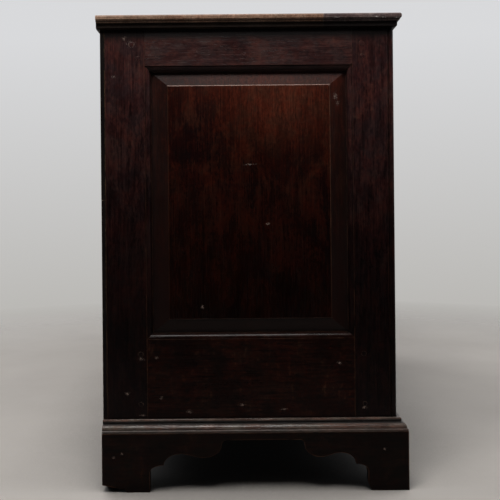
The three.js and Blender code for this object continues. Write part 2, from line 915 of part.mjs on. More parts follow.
// A row of dovetails from their roots to their ends, or the sockets for them when grown
function dovetails(root, end, span, grow = 0) {
  const pitch = (sideHeight[1] - sideHeight[0]) / tailCount;
  const toward = Math.sign(end - root);
  const rootHalf = (pitch * tailRootShare) / 2 + grow;
  const endHalf = (pitch * tailEndShare) / 2 + grow;
  const tip = end + toward * grow;
  const inside = root - toward * overrun;
  const tails = Array.from({ length: tailCount }, (_, tail) => {
    const middle = sideHeight[0] + (tail + 1 / 2) * pitch;
    const points = [
      [inside, middle - rootHalf],
      [root, middle - rootHalf],
      [tip, middle - endHalf],
      [tip, middle + endHalf],
      [root, middle + rootHalf],
      [inside, middle + rootHalf],
    ];
    return slab(toward > 0 ? points : points.reverse(), span, sidewall);
  });
  return joined(tails);
}

function drawerBottom() {
  return block(bottomSpan, [drawerFaceRear - drawerGrooveDepth, drawerRearY], bottomHeight);
}

// Space for the bottom, cut in the front and the sides
function bottomGroove() {
  const depth = [drawerFaceRear - drawerGrooveDepth - drawerGrooveMargin, drawerRearY + overrun];
  return block(grown(bottomSpan, drawerGrooveMargin), depth, grown(bottomHeight, drawerGrooveMargin));
}

const sideSpans = [
  [drawerSpan[0], drawerSpan[0] + drawerSideThick],
  [drawerSpan[1] - drawerSideThick, drawerSpan[1]],
];

function drawerSockets(root, end) {
  return sideSpans.map(([x0, x1]) => {
    const outward = x0 === drawerSpan[0] ? [x0 - overrun, x1 + seam] : [x0 - seam, x1 + overrun];
    return dovetails(root, end, outward, seam);
  });
}

function drawerFront() {
  const depth = [frontY, drawerFaceRear];
  const height = [drawerRailTop + drawerGap, wellRailFoot - drawerGap];
  const sockets = drawerSockets(drawerFaceRear, frontY + tailLap);
  return cutBy(block(drawerSpan, depth, height), [bottomGroove(), ...sockets]);
}

function drawerSide(span) {
  const body = block(span, [drawerFaceRear + seam, drawerBackFace - seam], sideHeight);
  const frontTails = dovetails(drawerFaceRear, frontY + tailLap, span);
  const backTails = dovetails(drawerBackFace, drawerRearY, span);
  return cutBy(joined([body, frontTails, backTails]), [bottomGroove()]);
}

function drawerBack() {
  const height = [bottomHeight[1] + drawerGrooveMargin, sideHeight[1]];
  const board = block(drawerSpan, [drawerBackFace, drawerRearY], height);
  return cutBy(board, drawerSockets(drawerBackFace, drawerRearY));
}

// Handle: a shaped plate with two posts, and a bail that hangs in their eyes
const handleY = frontY - handlePostReach;
const handleZ = (drawerRailTop + wellRailFoot) / 2;
const plateShares = [
  [[0, 1], [0.09, 0.98], [0.17, 0.7]],
  [[0.17, 0.7], [0.33, 0.92], [0.56, 0.86], [0.66, 0.52]],
  [[0.66, 0.52], [0.8, 0.6], [0.92, 0.34], [1, 0]],
];
const plateSteps = 4;

// A quarter of the plate's edge is drawn in lobes; the rest mirrors it
function plateOutline(middle) {
  const quarter = plateShares.flatMap((lobe) => {
    const curve = new THREE.SplineCurve(lobe.map(([x, z]) => new THREE.Vector2(x, z)));
    return curve.getPoints(plateSteps).slice(1);
  });
  const halfLength = handlePlateLength / 2;
  const halfHeight = handlePlateHeight / 2;
  const upper = [[0, 1], ...quarter.map(({ x, y }) => [x, y])];
  const signs = [[1, 1], [1, -1], [-1, -1], [-1, 1]];
  return signs.flatMap(([signX, signZ]) => {
    const points = upper.map(([x, z]) => [
      middle + signX * x * halfLength,
      handleZ + signZ * z * halfHeight,
    ]);
    const run = signX * signZ > 0 ? points : points.reverse();
    return run.slice(0, -1);
  });
}

function handlePlate(middle) {
  const plate = slab(
    plateOutline(middle).reverse(),
    [seam, seam + handlePlateThick],
    layout(right, up, front, 0, frontY, 0),
  );
  const posts = [-1, 1].flatMap((sign) => {
    const x = middle + (sign * handleBore) / 2;
    const length = handlePostReach - seam - handlePlateThick / 2;
    const post = new THREE.CylinderGeometry(handlePostRadius, handlePostRadius, length, roundSides);
    const place = layout(right, front, up, x, handleY + length / 2, handleZ);
    const eye = barX(handleEyeRadius, centred(x, handleEyeThick), handleY, handleZ);
    return [solidOf(post, place), eye];
  });
  const bore = barX(
    handlePinRadius + handlePinPlay,
    centred(middle, handlePlateLength + overrun),
    handleY,
    handleZ,
  );
  return joined([plate, ...posts]).subtract(bore);
}

// Shares of the bail's half width, plus its neck, and of its drop
const bailShares = [
  [1, 0, 0],
  [1, 0.4, 0],
  [1, 0.85, -0.1],
  [1, 1, -0.32],
  [0.97, 0.3, -0.62],
  [0.74, 0, -0.86],
  [0.38, 0, -0.95],
  [0, 0, -1],
];

function bail(middle) {
  const half = handleBore / 2 + handleEyeThick / 2 + bailShoulder;
  const path = bailShares.map(([x, neck, z]) => [x * half + neck * bailNeck, z * bailDrop]);
  const points = [...path, ...path.slice(0, -1).reverse().map(([x, z]) => [-x, z])].map(
    ([x, z]) => new THREE.Vector3(middle + x, handleY, handleZ + z),
  );
  const round = new THREE.EllipseCurve(0, 0, bailRadius, bailRadius);
  const tube = new THREE.ExtrudeGeometry(new THREE.Shape(round.getPoints(bailSides)), {
    extrudePath: new THREE.CatmullRomCurve3(points),
    steps: bailSteps,
    bevelEnabled: false,
  });
  const pins = [-1, 1].map((sign) => {
    const inner = middle + (sign * (handleBore - handleEyeThick)) / 2;
    const outer = middle + sign * (half + bailRadius);
    return barX(handlePinRadius, [Math.min(inner, outer), Math.max(inner, outer)], handleY, handleZ);
  });
  return joined([solidOf(tube), ...pins]);
}

// Assembly, centred on its outermost edges
const chest = new THREE.Group();
chest.position.y = (plinthProud - lidRearOverhang) / 2;

function add(name, solid, material) {
  const mesh = new THREE.Mesh(geometryOf(solid), material);
  mesh.name = name;
  chest.add(mesh);
}

// Adds a left-hand piece and its mirror image on the right
function addPair(name, solid, material) {
  add(`${name}_left`, solid, material);
  add(`${name}_right`, mirrorX(solid), material);
}

addPair('front_post', frontPost(), oak);
addPair('back_post', backPost(), oak);
addPair('end_top_rail', rail(endFace, endRun, topRail).add(endMouldings.head), oak);
addPair('end_bottom_rail', rail(endFace, endRun, endBottomRail).add(endMouldings.foot), darkOak);
addPair('end_panel', fieldedPanel(endFace, endOpening), oak);

add('front_top_rail', frontTopRail(), oak);
add('front_well_rail', frontWellRail(), oak);
add('front_drawer_rail', frontDrawerRail(), darkOak);
addPair('front_muntin', muntin(0), oak);
add('front_panel_left', fieldedPanel(frontFace, frontOpenings[0]), oak);
add('front_panel_centre', fieldedPanel(frontFace, frontOpenings[1]), oak);
add('front_panel_right', fieldedPanel(frontFace, frontOpenings[2]), oak);
add('drawer_divider', upright(frontFace, dividerSpan, dividerRun, dividerTenonLength), darkOak);

add('back_top_rail', backTopRail(), dryOak);
add('back_board_lower', backBoard([carcaseFoot, backBoardJoint - seam]), dryOak);
add('back_board_upper', cutBy(backBoard([backBoardJoint, carcaseTop]), backHingeHousings), dryOak);
add('well_floor', wellFloor(), dryOak);
add('runner_right', sideRunner(), dryOak);
add('runner_left', mirrorX(sideRunner()), dryOak);
add('runner_centre', centreRunner(), dryOak);

addPair('base_moulding', endBaseMoulding(), darkOak);
add('base_moulding_front', frontBaseMoulding(), darkOak);
add('plinth_left', endPlinth(true), plinthOak);
add('plinth_right', mirrorX(endPlinth(false)), plinthOak);
add('plinth_front', frontPlinth(), plinthOak);
add('rear_bracket_left', rearBracket(true), plinthOak);
add('rear_bracket_right', mirrorX(rearBracket(false)), plinthOak);

add('lid_board_front', lidFrontBoardSolid(), oak);
add('lid_board_rear', lidRearBoardSolid(), oak);
add('hinge_lid_leaf_right', hingeLidLeaf(), iron);
add('hinge_lid_leaf_left', mirrorX(hingeLidLeaf()), iron);
add('hinge_back_leaf_right', hingeBackLeaf(), iron);
add('hinge_back_leaf_left', mirrorX(hingeBackLeaf()), iron);
add('lid_lock', lidLock(), iron);
add('lid_staple', lidStaple(), iron);

// Drawers and their handles
const drawerPieces = [
  ['front', drawerFront(), darkOak],
  ['side_outer', drawerSide(sideSpans[1]), dryOak],
  ['side_inner', drawerSide(sideSpans[0]), dryOak],
  ['back', drawerBack(), dryOak],
  ['bottom', drawerBottom(), dryOak],
];
const handleMiddles = [drawerSpan[0] + handleInset, drawerSpan[1] - handleInset];
const handlePieces = handleMiddles.flatMap((middle, place) => [
  [`handle_plate_${['inner', 'outer'][place]}`, handlePlate(middle), brass],
  [`bail_${['inner', 'outer'][place]}`, bail(middle), brass],
]);
for (const [name, solid, material] of drawerPieces) {
  add(`drawer_${name}_right`, solid, material);
  add(`drawer_${name}_left`, mirrorX(solid), material);
}
for (const [name, solid, material] of handlePieces) {
  add(`${name}_right`, solid, material);
  add(`${name}_left`, mirrorX(solid), material);
}

export default chest;
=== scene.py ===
"""Dresses the panelled oak mule chest: dark waxed oak, dry inner oak, brass, iron and small trim."""

import math
import random
import zlib

import bmesh
import bpy
from mathutils import Matrix, Vector


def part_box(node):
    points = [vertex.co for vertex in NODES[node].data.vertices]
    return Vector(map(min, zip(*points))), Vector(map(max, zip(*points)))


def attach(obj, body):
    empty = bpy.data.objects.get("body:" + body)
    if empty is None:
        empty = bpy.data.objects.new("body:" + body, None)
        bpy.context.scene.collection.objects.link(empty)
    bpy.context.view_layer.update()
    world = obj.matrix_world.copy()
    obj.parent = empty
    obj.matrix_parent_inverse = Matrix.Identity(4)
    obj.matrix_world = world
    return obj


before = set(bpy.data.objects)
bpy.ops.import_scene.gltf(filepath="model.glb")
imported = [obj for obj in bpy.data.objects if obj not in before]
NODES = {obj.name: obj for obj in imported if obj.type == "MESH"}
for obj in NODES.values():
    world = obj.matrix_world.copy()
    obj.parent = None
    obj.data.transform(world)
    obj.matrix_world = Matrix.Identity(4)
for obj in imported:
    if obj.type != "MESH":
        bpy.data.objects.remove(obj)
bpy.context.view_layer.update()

MM = 0.001
END_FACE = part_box("back_post_right")[1].x
FRONT_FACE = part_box("front_top_rail")[0].y
CARCASE_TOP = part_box("back_top_rail")[1].z
LID_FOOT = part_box("lid_board_rear")[0].z
STAIN_DEPTH = 14 * MM

# Camera: the photograph looks square on at the left end, from a little above mid-height
IMAGE_PIXELS = 500
SENSOR_MM = 36
FOCAL_PIXELS = 806.3
CAMERA_DISTANCE = 1.45
CAMERA_HEIGHT = 0.506
CAMERA_ASIDE = 0.0255
CAMERA_ROLL = math.radians(0.52)
VANISHING_X = 237.3
HORIZON_Y = 206.7

# Floor and surroundings, in linear colour
FLOOR_SIZE = 9
FLOOR_COLOUR = (0.264, 0.247, 0.231)
FLOOR_FADE = (1.05, 2.3)
WALL_LOW = (0.49, 0.48, 0.46)
WALL_HIGH = (0.69, 0.695, 0.71)
AMBIENT = (0.085, 0.086, 0.09)
ROOM_LOW = (0.006, 0.006, 0.006)
ROOM_HIGH = (0.24, 0.24, 0.25)


def srgb(red, green, blue):
    """A colour as read off a screen, 0 to 255, as the linear values that shaders take."""
    def linear(value):
        value /= 255
        return value / 12.92 if value <= 0.04045 else ((value + 0.055) / 1.055) ** 2.4
    return (linear(red), linear(green), linear(blue))


def draw_of(name):
    """Random numbers that are the same for a name each time."""
    return random.Random(zlib.crc32(name.encode()))


# Node trees

class Tree:
    """Short ways to add and join shader nodes in one material or world."""

    def __init__(self, owner):
        owner.use_nodes = True
        self.nodes = owner.node_tree.nodes
        self.links = owner.node_tree.links

    def set(self, socket, value):
        if isinstance(value, bpy.types.NodeSocket):
            self.links.new(value, socket)
            return
        held = socket.default_value
        is_colour = hasattr(held, "__len__") and len(held) == 4
        socket.default_value = (*value, 1) if is_colour and len(value) == 3 else value

    def add(self, kind, inputs=None, **settings):
        node = self.nodes.new("ShaderNode" + kind)
        for key, value in settings.items():
            setattr(node, key, value)
        for key, value in (inputs or {}).items():
            self.set(node.inputs[key], value)
        return node

    def math(self, operation, first, second=0.0, clamp=False):
        return self.add("Math", {0: first, 1: second}, operation=operation, use_clamp=clamp).outputs[0]

    def times(self, first, second):
        return self.math("MULTIPLY", first, second)

    def total(self, *terms):
        """The sum of values, each with its weight."""
        result = 0.0
        for value, weight in terms:
            result = self.math("ADD", result, self.times(value, weight))
        return result

    def most(self, *values):
        result = values[0]
        for value in values[1:]:
            result = self.math("MAXIMUM", result, value)
        return result

    def mix(self, factor, first, second, blend="MIX"):
        node = self.add("Mix", data_type="RGBA", blend_type=blend, clamp_factor=True)
        self.set(node.inputs[0], factor)
        self.set(node.inputs[6], first)
        self.set(node.inputs[7], second)
        return node.outputs[2]

    def scaled(self, colour, factor):
        """A colour with all its channels times a value."""
        grey = self.add("CombineXYZ", {0: factor, 1: factor, 2: factor}).outputs[0]
        return self.mix(1.0, colour, grey, "MULTIPLY")

    def band(self, value, low, high, to_low=0.0, to_high=1.0):
        """Stretches the span from low to high over a new span, and holds it there outside."""
        inputs = {0: value, 1: low, 2: high, 3: to_low, 4: to_high}
        return self.add("MapRange", inputs, clamp=True).outputs[0]

    def noise(self, vector, scale, detail=3.0, roughness=0.55, distortion=0.0):
        inputs = {"Vector": vector, "Scale": scale, "Detail": detail, "Roughness": roughness}
        inputs["Distortion"] = distortion
        return self.add("TexNoise", inputs).outputs["Fac"]

    def vector(self, operation, first, second):
        return self.add("VectorMath", {0: first, 1: second}, operation=operation)

    def shade(self, **values):
        """Sets the main shader's sockets."""
        names = {
            "colour": "Base Color",
            "rough": "Roughness",
            "normal": "Normal",
            "specular": "Specular IOR Level",
            "coat": "Coat Weight",
            "coat_rough": "Coat Roughness",
            "metal": "Metallic",
        }
        for key, value in values.items():
            self.set(self.nodes["Principled BSDF"].inputs[names[key]], value)


class Finish(Tree):
    """A material whose textures lie in the piece's own coordinates, shifted by its name."""

    def __init__(self, name):
        self.material = bpy.data.materials.new(name)
        super().__init__(self.material)
        draw = draw_of(name)
        self.offset = tuple(draw.uniform(-20, 20) for _ in range(3))
        self.own = self.add("TexCoord").outputs["Object"]
        self.split = self.add("SeparateXYZ", {0: self.own}).outputs

    def place(self, along=1.0, axis="z"):
        """The piece's coordinates in the textures, stretched along one axis."""
        scale = [1.0, 1.0, 1.0]
        scale["xyz".index(axis)] = along
        moved = self.vector("ADD", self.own, self.offset).outputs[0]
        return self.vector("MULTIPLY", moved, tuple(scale)).outputs[0]

    def edges(self, radius):
        """1 on the sharp edges, 0 on flats."""
        rounded = self.add("Bevel", {"Radius": radius}, samples=6).outputs["Normal"]
        true_normal = self.add("NewGeometry").outputs["Normal"]
        alike = self.vector("DOT_PRODUCT", rounded, true_normal).outputs["Value"]
        return self.band(alike, 0.985, 0.86)

    def nooks(self, reach):
        """1 deep in corners and hollows, 0 in the open."""
        openness = self.add("AmbientOcclusion", {"Distance": reach}, samples=6).outputs["AO"]
        return self.band(openness, 0.95, 0.35)

    def outer_face(self):
        """1 on and about the outer faces of the frame, at its ends and its front."""
        at_end = self.band(self.math("ABSOLUTE", self.split[0]), END_FACE - 7 * MM, END_FACE - 6 * MM)
        return self.most(at_end, self.band(self.split[1], FRONT_FACE + 7 * MM, FRONT_FACE + 6 * MM))

    def bare_inside(self):
        """1 behind the outer faces of the frame, where the oak was never stained, with a ragged edge."""
        drift = self.band(self.noise(self.place(), 90, 3, 0.7), 0.3, 0.7, -1.5 * MM, 1.5 * MM)
        beyond = self.math("SUBTRACT", self.math("ABSOLUTE", self.split[0]), END_FACE - STAIN_DEPTH)
        before = self.math("SUBTRACT", FRONT_FACE + STAIN_DEPTH, self.split[1])
        return self.band(self.math("ADD", self.most(beyond, before), drift), 0.0, -1 * MM)

    def bump(self, height, distance, strength, normal=None):
        inputs = {"Strength": strength, "Distance": distance, "Height": height}
        if normal is not None:
            inputs["Normal"] = normal
        return self.add("Bump", inputs).outputs["Normal"]


# Painted highlights on arrises, and marks

def field_of(piece):
    """Axes and spans of a panel's raised field, from its outermost flat."""
    points = [vertex.co for vertex in piece.data.vertices]
    spans = [[point[axis] for point in points] for axis in range(3)]
    sizes = [max(span) - min(span) for span in spans]
    thin = sizes.index(min(sizes))
    outer = max((point[thin] for point in points), key=abs)
    field = [point for point in points if abs(point[thin] - outer) < 0.1 * MM]
    axes = [axis for axis in range(3) if axis != thin]
    return [(axis, min(p[axis] for p in field), max(p[axis] for p in field)) for axis in axes]


def inside_field(tree, field):
    """How far inside a panel's field a point lies, across and up, in metres; below 0 outside."""
    depths = []
    for axis, low, high in field:
        value = tree.split[axis]
        from_low = tree.math("SUBTRACT", value, low)
        from_high = tree.math("SUBTRACT", high, value)
        depths.append(tree.math("MINIMUM", from_low, from_high))
    return depths


def arris(tree, depths):
    """1 on the lines along the foot and head of a panel's field, and on those up its sides."""
    lines = [tree.band(tree.math("ABSOLUTE", depth), 0.0011, 0.0003) for depth in depths]
    within = [tree.band(depth, -0.0014, -0.001) for depth in depths]
    return tree.times(lines[1], within[0]), tree.times(lines[0], within[1])


def distance_to(tree, y, z, wide, high):
    """Distance from a point on the left end, in ellipse radii."""
    centred = tree.vector("SUBTRACT", tree.own, (0, y, z)).outputs[0]
    scaled = tree.vector("MULTIPLY", centred, (0, 1 / wide, 1 / high)).outputs[0]
    return tree.add("VectorMath", {0: scaled}, operation="LENGTH").outputs["Value"]


def marks(tree, spots):
    """1 in small bruises and painted glints on the left end, each (y, z, half width, half height) in
    metres.
    """
    ragged = tree.noise(tree.place(), 620, 2, 0.8)
    found = [
        tree.band(tree.total((distance_to(tree, *spot), 0.7), (ragged, 4.0)), 2.45, 2.05)
        for spot in spots
    ]
    return tree.most(*found)


def pools(tree, spots, drift):
    """1 inside large soft-edged patches on the left end."""
    found = [
        tree.band(tree.total((distance_to(tree, *spot), 1.0), (drift, 1.6)), 1.95, 0.8)
        for spot in spots
    ]
    return tree.most(*found)


# Bruises read off the photograph, and painted glints on the lid's front board (the last four): y and z
# on the left end, half width and half height
BRUISES_AND_GLINTS = [
    (0.2137, 0.7995, 0.007, 0.006),
    (0.2272, 0.8103, 0.0055, 0.0035),
    (0.2463, 0.7416, 0.0035, 0.003),
    (0.0016, 0.5823, 0.012, 0.0011),
    (-0.0297, 0.4743, 0.004, 0.0022),
    (-0.153, 0.704, 0.0045, 0.007),
    (-0.158, 0.692, 0.003, 0.004),
    (0.0895, 0.3257, 0.003, 0.004),
    (-0.1555, 0.2237, 0.004, 0.003),
    (-0.2, 0.1435, 0.005, 0.003),
    (0.2005, 0.2335, 0.005, 0.0028),
    (0.1735, 0.2355, 0.003, 0.003),
    (0.1985, 0.1325, 0.005, 0.0025),
    (0.165, 0.163, 0.003, 0.003),
    (0.115, 0.138, 0.006, 0.0028),
    (0.02, 0.1495, 0.005, 0.0025),
    (-0.055, 0.141, 0.006, 0.002),
    (0.2265, 0.172, 0.004, 0.003),
    (0.2344, 0.0691, 0.0028, 0.0022),
    (0.2487, 0.062, 0.003, 0.0022),
    (-0.2325, 0.0735, 0.003, 0.0022),
    (-0.2254, 0.8428, 0.005, 0.0012),
    (-0.2375, 0.842, 0.006, 0.0011),
    (-0.262, 0.8415, 0.004, 0.001),
    (-0.155, 0.8422, 0.007, 0.0009),
]
# Warm worn pools and dark pools in the polish of the left panel
WARM_POOLS = [(-0.035, 0.745, 0.15, 0.062), (-0.05, 0.7, 0.11, 0.085)]
DARK_POOLS = [(0.095, 0.62, 0.055, 0.1), (0.0205, 0.53, 0.06, 0.05), (-0.13, 0.5, 0.03, 0.09)]
# Painted highlights on the arrises of the panel's field, on its head and on its sides
ARRIS_HIGHLIGHT = srgb(132, 108, 98)
ARRIS_SIDE_HIGHLIGHT = srgb(92, 62, 48)
DARK_POOL_COLOUR = srgb(15, 7, 9)
# Slow drifts of hue in the stain, as factors on a colour
REDDER = (1.12, 0.92, 0.9)
BLUER = (0.9, 1.06, 1.12)
# The dark stain that ran over the ends of the back boards
END_STAIN = (srgb(5, 3, 3), srgb(13, 9, 8))


def wood(name, grain, tone, style, field=None, spots=()):
    """Oak of one style, with its grain along an axis."""
    tree = Finish(name)
    plain = tree.place()
    slow = tree.place(0.55, grain)
    along = tree.place(0.075, grain)
    hair = tree.place(0.03, grain)

    cloud = tree.noise(slow, 9, 4, 0.6, 0.6)
    patches = tree.noise(slow, 24, 5, 0.66, 0.8)
    streak = tree.noise(along, 190, 4, 0.6, 0.5)
    fine = tree.noise(hair, 460, 3, 0.6)
    speckle = tree.noise(tree.place(0.4, grain), 300, 3, 0.65)
    figure = tree.add(
        "TexWave",
        {"Vector": along, "Scale": style["rings"], "Distortion": 7, "Detail": 3, "Detail Scale": 1.4},
        wave_type="BANDS",
        bands_direction="DIAGONAL",
    ).outputs["Fac"]
    pores = tree.band(tree.noise(hair, 820, 2, 0.5), 0.58, 0.68)
    flecks = tree.band(tree.noise(tree.place(3.2, grain), 60, 3, 0.6), 0.58, 0.72)

    deep, mid, warm = (
        tuple(channel * tone for channel in style[key]) for key in ("deep", "mid", "warm")
    )
    body = tree.total(
        (cloud, 0.2), (patches, 0.2), (streak, 0.1), (fine, 0.2), (speckle, 0.26), (figure, 0.04)
    )
    colour = tree.mix(tree.band(body, 0.37, 0.62), deep, mid)
    warmth = tree.total((patches, 0.45), (streak, 0.15), (fine, 0.2), (speckle, 0.2))
    warmth = tree.band(warmth, 0.47, 0.6)
    if field and spots:
        strands = tree.total((streak, 0.3), (fine, 0.35), (speckle, 0.35))
        strands = tree.band(strands, 0.38, 0.6, 0.25, 1.0)
        warm_pool = tree.times(pools(tree, WARM_POOLS, patches), strands)
        colour = tree.mix(tree.times(pools(tree, DARK_POOLS, patches), 0.6), colour, DARK_POOL_COLOUR)
        warmth = tree.math("ADD", tree.times(warmth, 0.45), tree.times(warm_pool, 0.85), clamp=True)
    elif field:
        warmth = tree.times(warmth, 0.45)
    colour = tree.mix(tree.times(warmth, style["patch"]), colour, warm)
    colour = tree.mix(tree.times(tree.times(flecks, warmth), style["fleck"]), colour, style["worn"])
    colour = tree.mix(tree.times(pores, style["pore"]), colour, style["pore_dust_and_shade_colour"])

    hue = tree.mix(tree.band(tree.noise(plain, 31, 4, 0.7), 0.42, 0.58), REDDER, BLUER)
    colour = tree.mix(style["hue"], colour, hue, "MULTIPLY")
    # Painted shade: the oak darkens towards the bottom, as the light falls from above; the style's foot
    # is the factor at the bottom
    height = tree.band(tree.split[2], 0.18, 0.73)
    painted_height_shade = tree.band(tree.math("POWER", height, 2.4), 0.0, 1.0, style["foot"], 1.0)
    colour = tree.scaled(colour, painted_height_shade)
    bare = tree.bare_inside() if style["bare"] else 0.0
    if style["bare"]:
        colour = tree.mix(bare, colour, tree.mix(tree.band(body, 0.37, 0.62), DRY["deep"], DRY["mid"]))
    if "indoors" in style:
        shade = tree.band(tree.outer_face(), 0.0, 1.0, style["indoors"], 1.0)
        colour = tree.scaled(colour, shade)
    if "end_stain" in style:
        aside = tree.math("ABSOLUTE", tree.split[0])
        ends = tree.band(aside, style["end_stain"] - 4 * MM, style["end_stain"])
        colour = tree.mix(ends, colour, tree.mix(tree.band(cloud, 0.4, 0.6), *END_STAIN))

    patchy = tree.band(tree.noise(plain, 46, 4, 0.65), 0.36, 0.62)
    if field:
        depths = inside_field(tree, field)
        bevel = tree.band(tree.math("MINIMUM", *depths), 0.0, -0.001)
        colour = tree.mix(tree.times(bevel, 0.45), colour, style["bevel"])
        # Painted highlights on the field's arrises, broken in places: head and foot lines, and side
        # lines brighter towards the front, all fading towards the bottom
        level, sides = arris(tree, depths)
        sides = tree.times(sides, tree.band(tree.split[1], 0.05, -0.05, 0.3, 1.0))
        broken = tree.band(tree.noise(plain, 30, 4, 0.7), 0.3, 0.56, 0.15, 0.8)
        highlight_fading = tree.band(height, 0.15, 0.9, 0.06, 1.0)
        colour = tree.mix(tree.times(tree.times(sides, broken), highlight_fading), colour, ARRIS_SIDE_HIGHLIGHT)
        colour = tree.mix(tree.times(tree.times(level, broken), highlight_fading), colour, ARRIS_HIGHLIGHT)
    rubbed = tree.times(tree.times(tree.edges(style["edge_radius"]), patchy), style["edge_wear"])
    colour = tree.mix(rubbed, colour, style["worn"])
    # Darker in corners, hollows and recesses: dust, and painted shade where shade falls there
    dust_and_painted_shade = tree.times(tree.nooks(style["dust_and_shade_reach"]), style["dust_and_painted_shade"])
    # Painted shade in bands of height on the outer faces, each (low, high, strength, softness in mm):
    # painted shadow under the lid and painted shade on mouldings
    for low, high, strength, softness in style["painted_shade_bands"]:
        above = tree.math("SUBTRACT", tree.split[2], low)
        inside = tree.math("MINIMUM", above, tree.math("SUBTRACT", high, tree.split[2]))
        painted_shade_bands = tree.band(inside, -softness * MM, 0.3 * MM, 0.0, strength)
        dust_and_painted_shade = tree.most(dust_and_painted_shade, tree.times(painted_shade_bands, tree.outer_face()))
    colour = tree.mix(dust_and_painted_shade, colour, style["pore_dust_and_shade_colour"])
    # Bruises, and near-white painted glints on the lid's front board
    bruise_and_glint_mask = marks(tree, spots) if spots else 0.0
    if spots:
        colour = tree.mix(tree.times(bruise_and_glint_mask, 0.75), colour, style["bruise_and_glint_colour"])

    smear = tree.band(tree.noise(slow, 13, 5, 0.6), 0.34, 0.66, style["rough_low"], style["rough_high"])
    dull = tree.times(bevel, 0.16) if field else 0.0
    rough = tree.total((smear, 1.0), (pores, 0.1), (dust_and_painted_shade, 0.3), (fine, 0.12), (dull, 1.0), (bare, 0.45))
    rough = tree.math("SUBTRACT", rough, 0.06, clamp=True)

    scratches = tree.noise(tree.place(0.05, grain), 150, 2, 0.7, 1.5)
    dents = tree.add("TexVoronoi", {"Vector": plain, "Scale": 38, "Randomness": 1.0}).outputs["Distance"]
    dents = tree.band(dents, 0.0, 0.09, -1.0, 0.0)
    relief = tree.total(
        (pores, -0.5), (fine, 0.35), (scratches, 0.1), (dents, style["dents"]), (bruise_and_glint_mask, -1.2)
    )
    waves = tree.bump(tree.noise(tree.place(0.35, grain), 17, 3), 0.004, 0.25)
    tree.shade(
        colour=colour,
        rough=rough,
        normal=tree.bump(relief, 0.0005, style["bump"], waves),
        specular=style["specular"],
        coat=style["coat"],
        coat_rough=style["coat_rough"],
    )
    return tree.material


# Oak styles
STAINED = {
    "deep": srgb(15, 5, 5),
    "mid": srgb(50, 30, 30),
    "warm": srgb(69, 40, 34),
    "patch": 0.55,
    "foot": 0.12,
    "bare": True,
    "hue": 1.0,
    "rings": 30,
    "pore": 0.55,
    "fleck": 0.3,
    "edge_radius": 0.0024,
    "edge_wear": 0.25,
    "worn": srgb(92, 60, 42),
    "bruise_and_glint_colour": srgb(108, 92, 84),
    "dust_and_painted_shade": 0.95,
    "dust_and_shade_reach": 0.014,
    "pore_dust_and_shade_colour": srgb(4, 2, 2),
    # Painted shadow under the lid's overhang on the top of the frame, fading 13 mm downward
    "painted_shade_bands": [(0.815, 0.826, 0.95, 13)],
    "rough_low": 0.24,
    "rough_high": 0.36,
    "dents": 0.9,
    "bump": 0.4,
    "specular": 0.07,
    "coat": 0.02,
    "coat_rough": 0.14,
}
PANEL = {
    **STAINED,
    "deep": srgb(24, 9, 7),
    "mid": srgb(42, 16, 10),
    "warm": srgb(87, 42, 28),
    "bevel": srgb(22, 10, 8),
    "patch": 0.8,
    "foot": 0.1,
    "rough_low": 0.18,
    "rough_high": 0.28,
    "specular": 0.1,
}
RAIL = {
    **STAINED,
    "deep": srgb(24, 13, 13),
    "mid": srgb(52, 32, 31),
    "warm": srgb(69, 46, 41),
    # Painted shade in hollows reaching further, under the lid; bands of painted shadow under the lid and
    # painted shade on the moulding above the panel, which faces down
    "dust_and_shade_reach": 0.03,
    "painted_shade_bands": [(0.815, 0.826, 0.95, 13), (0.7515, 0.7603, 0.6, 0.5)],
    "specular": 0.11,
}
DARK = {
    **STAINED,
    "deep": srgb(11, 4, 3),
    "mid": srgb(25, 11, 8),
    "warm": srgb(44, 19, 12),
    "foot": 0.6,
    "specular": 0.05,
}
MOULD = {
    **DARK,
    "deep": srgb(30, 20, 16),
    "mid": srgb(66, 52, 45),
    "warm": srgb(94, 78, 68),
    "foot": 1.0,
    "edge_wear": 0.8,
    "worn": srgb(110, 94, 82),
    # Painted shade on the base moulding: on the torus's lower half and ledge, and on the lower ovolo and
    # bottom fillet
    "painted_shade_bands": [(0.1175, 0.123, 0.95, 0.5), (0.1035, 0.111, 0.5, 0.7)],
    "rough_low": 0.18,
    "rough_high": 0.3,
    "specular": 0.28,
}
PLINTH = {
    **DARK,
    "deep": srgb(6, 3, 2),
    "mid": srgb(13, 6, 4),
    "warm": srgb(24, 11, 7),
    "fleck": 0.08,
    "foot": 0.8,
    "bare": False,
    "edge_wear": 0.5,
    "rough_low": 0.34,
    "rough_high": 0.5,
}
LID = {
    **STAINED,
    "deep": srgb(74, 51, 38),
    "mid": srgb(118, 91, 74),
    "warm": srgb(152, 123, 104),
    "foot": 1.0,
    "bare": False,
    "indoors": 0.2,
    "hue": 0.3,
    "edge_wear": 0.6,
    "worn": srgb(170, 144, 124),
    # Painted shade: a dark line in the quirk under the nose, and the undercut cove and all below it
    "painted_shade_bands": [(0.8387, 0.8397, 0.95, 0.4), (0.82, 0.8365, 0.95, 1)],
}
LID_FRONT = {
    **LID,
    "deep": srgb(46, 36, 36),
    "mid": srgb(90, 74, 71),
    "warm": srgb(122, 105, 100),
    "edge_wear": 0.5,
    "worn": srgb(168, 157, 150),
    # Near-white painted glints on the lid's front board
    "bruise_and_glint_colour": srgb(214, 208, 202),
}
DRY = {
    **STAINED,
    "deep": srgb(74, 50, 33),
    "mid": srgb(112, 80, 53),
    "warm": srgb(146, 108, 72),
    "foot": 1.0,
    "fleck": 0.15,
    "worn": srgb(150, 116, 82),
    "dust_and_painted_shade": 0.7,
    "pore_dust_and_shade_colour": srgb(34, 24, 17),
    "painted_shade_bands": [],
    "bare": False,
    "hue": 0.15,
    "patch": 0.3,
    "rough_low": 0.72,
    "rough_high": 0.88,
    "specular": 0.3,
    "coat": 0.0,
}
